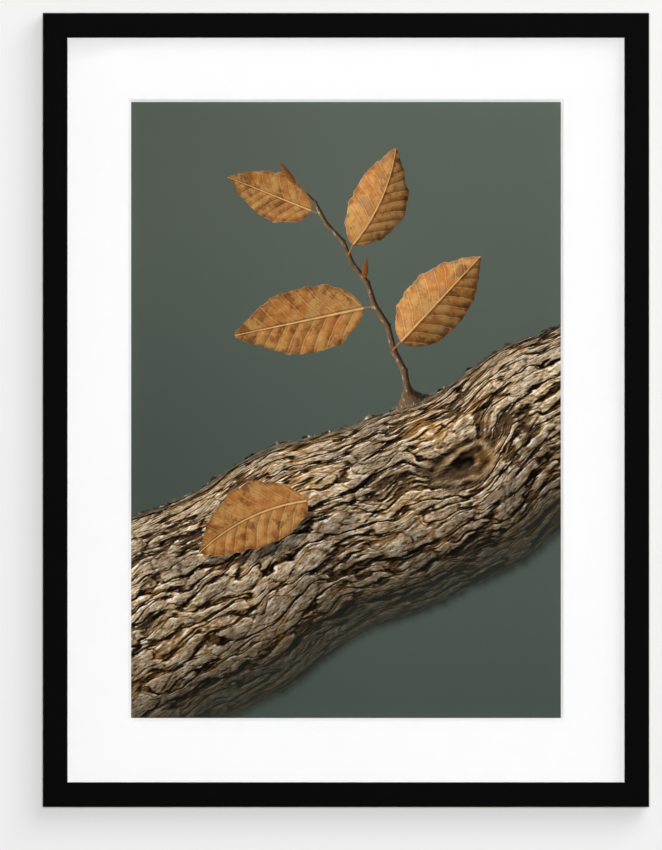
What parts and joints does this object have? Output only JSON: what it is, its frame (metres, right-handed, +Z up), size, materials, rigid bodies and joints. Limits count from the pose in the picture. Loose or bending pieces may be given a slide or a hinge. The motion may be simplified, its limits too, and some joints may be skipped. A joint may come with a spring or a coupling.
{
  "type": "framed print",
  "caption": "Portrait picture in a black wooden box frame, with a wide white bevel-cut window mount behind glass, a board back held by steel tabs, and a sawtooth wall hanger.",
  "frame": {"origin": "the point where the wall nail leaves the wall, under the middle notch of the sawtooth hanger, in the plane of the wall pads' rear faces", "axes": "+Z up, +Y into the wall with the picture facing -Y, +X to the viewer's right"},
  "size_m": [0.494, 0.025, 0.647],
  "materials": {
    "black_wood": "satin black lacquer on the face, sides and lip, bare pale wood on the back and in the rebate",
    "picture_glass": "clear polished float glass",
    "mount_board": "smooth matt white face paper over a white core",
    "printed_paper": "satin photographic paper with a printed picture in grey-green, brown and amber",
    "undermount_board": "matt off-white board",
    "fibreboard": "smooth brown fibreboard",
    "plated_steel": "zinc plated, dull",
    "brassed_steel": "brass plated, bright",
    "felt": "dense dark grey felt"
  },
  "bodies": {
    "root": {"rail_top": "black_wood", "rail_right": "black_wood", "rail_bottom": "black_wood", "rail_left": "black_wood", "glazing": "picture_glass", "window_mount": "mount_board", "print": "printed_paper", "undermount": "undermount_board", "backing_board": "fibreboard", "retaining_tab_top_1": "plated_steel", "retaining_tab_top_2": "plated_steel", "retaining_tab_top_3": "plated_steel", "retaining_tab_right_1": "plated_steel", "retaining_tab_right_2": "plated_steel", "retaining_tab_right_3": "plated_steel", "retaining_tab_right_4": "plated_steel", "retaining_tab_right_5": "plated_steel", "retaining_tab_bottom_1": "plated_steel", "retaining_tab_bottom_2": "plated_steel", "retaining_tab_bottom_3": "plated_steel", "retaining_tab_left_1": "plated_steel", "retaining_tab_left_2": "plated_steel", "retaining_tab_left_3": "plated_steel", "retaining_tab_left_4": "plated_steel", "retaining_tab_left_5": "plated_steel", "corner_wedge_top_left": "plated_steel", "corner_wedge_top_right": "plated_steel", "corner_wedge_bottom_left": "plated_steel", "corner_wedge_bottom_right": "plated_steel", "sawtooth_hanger": "brassed_steel", "hanger_nail_left": "brassed_steel", "hanger_nail_right": "brassed_steel", "wall_pad_top_left": "felt", "wall_pad_top_right": "felt", "wall_pad_bottom_left": "felt", "wall_pad_bottom_right": "felt"}
  },
  "joints": []
}
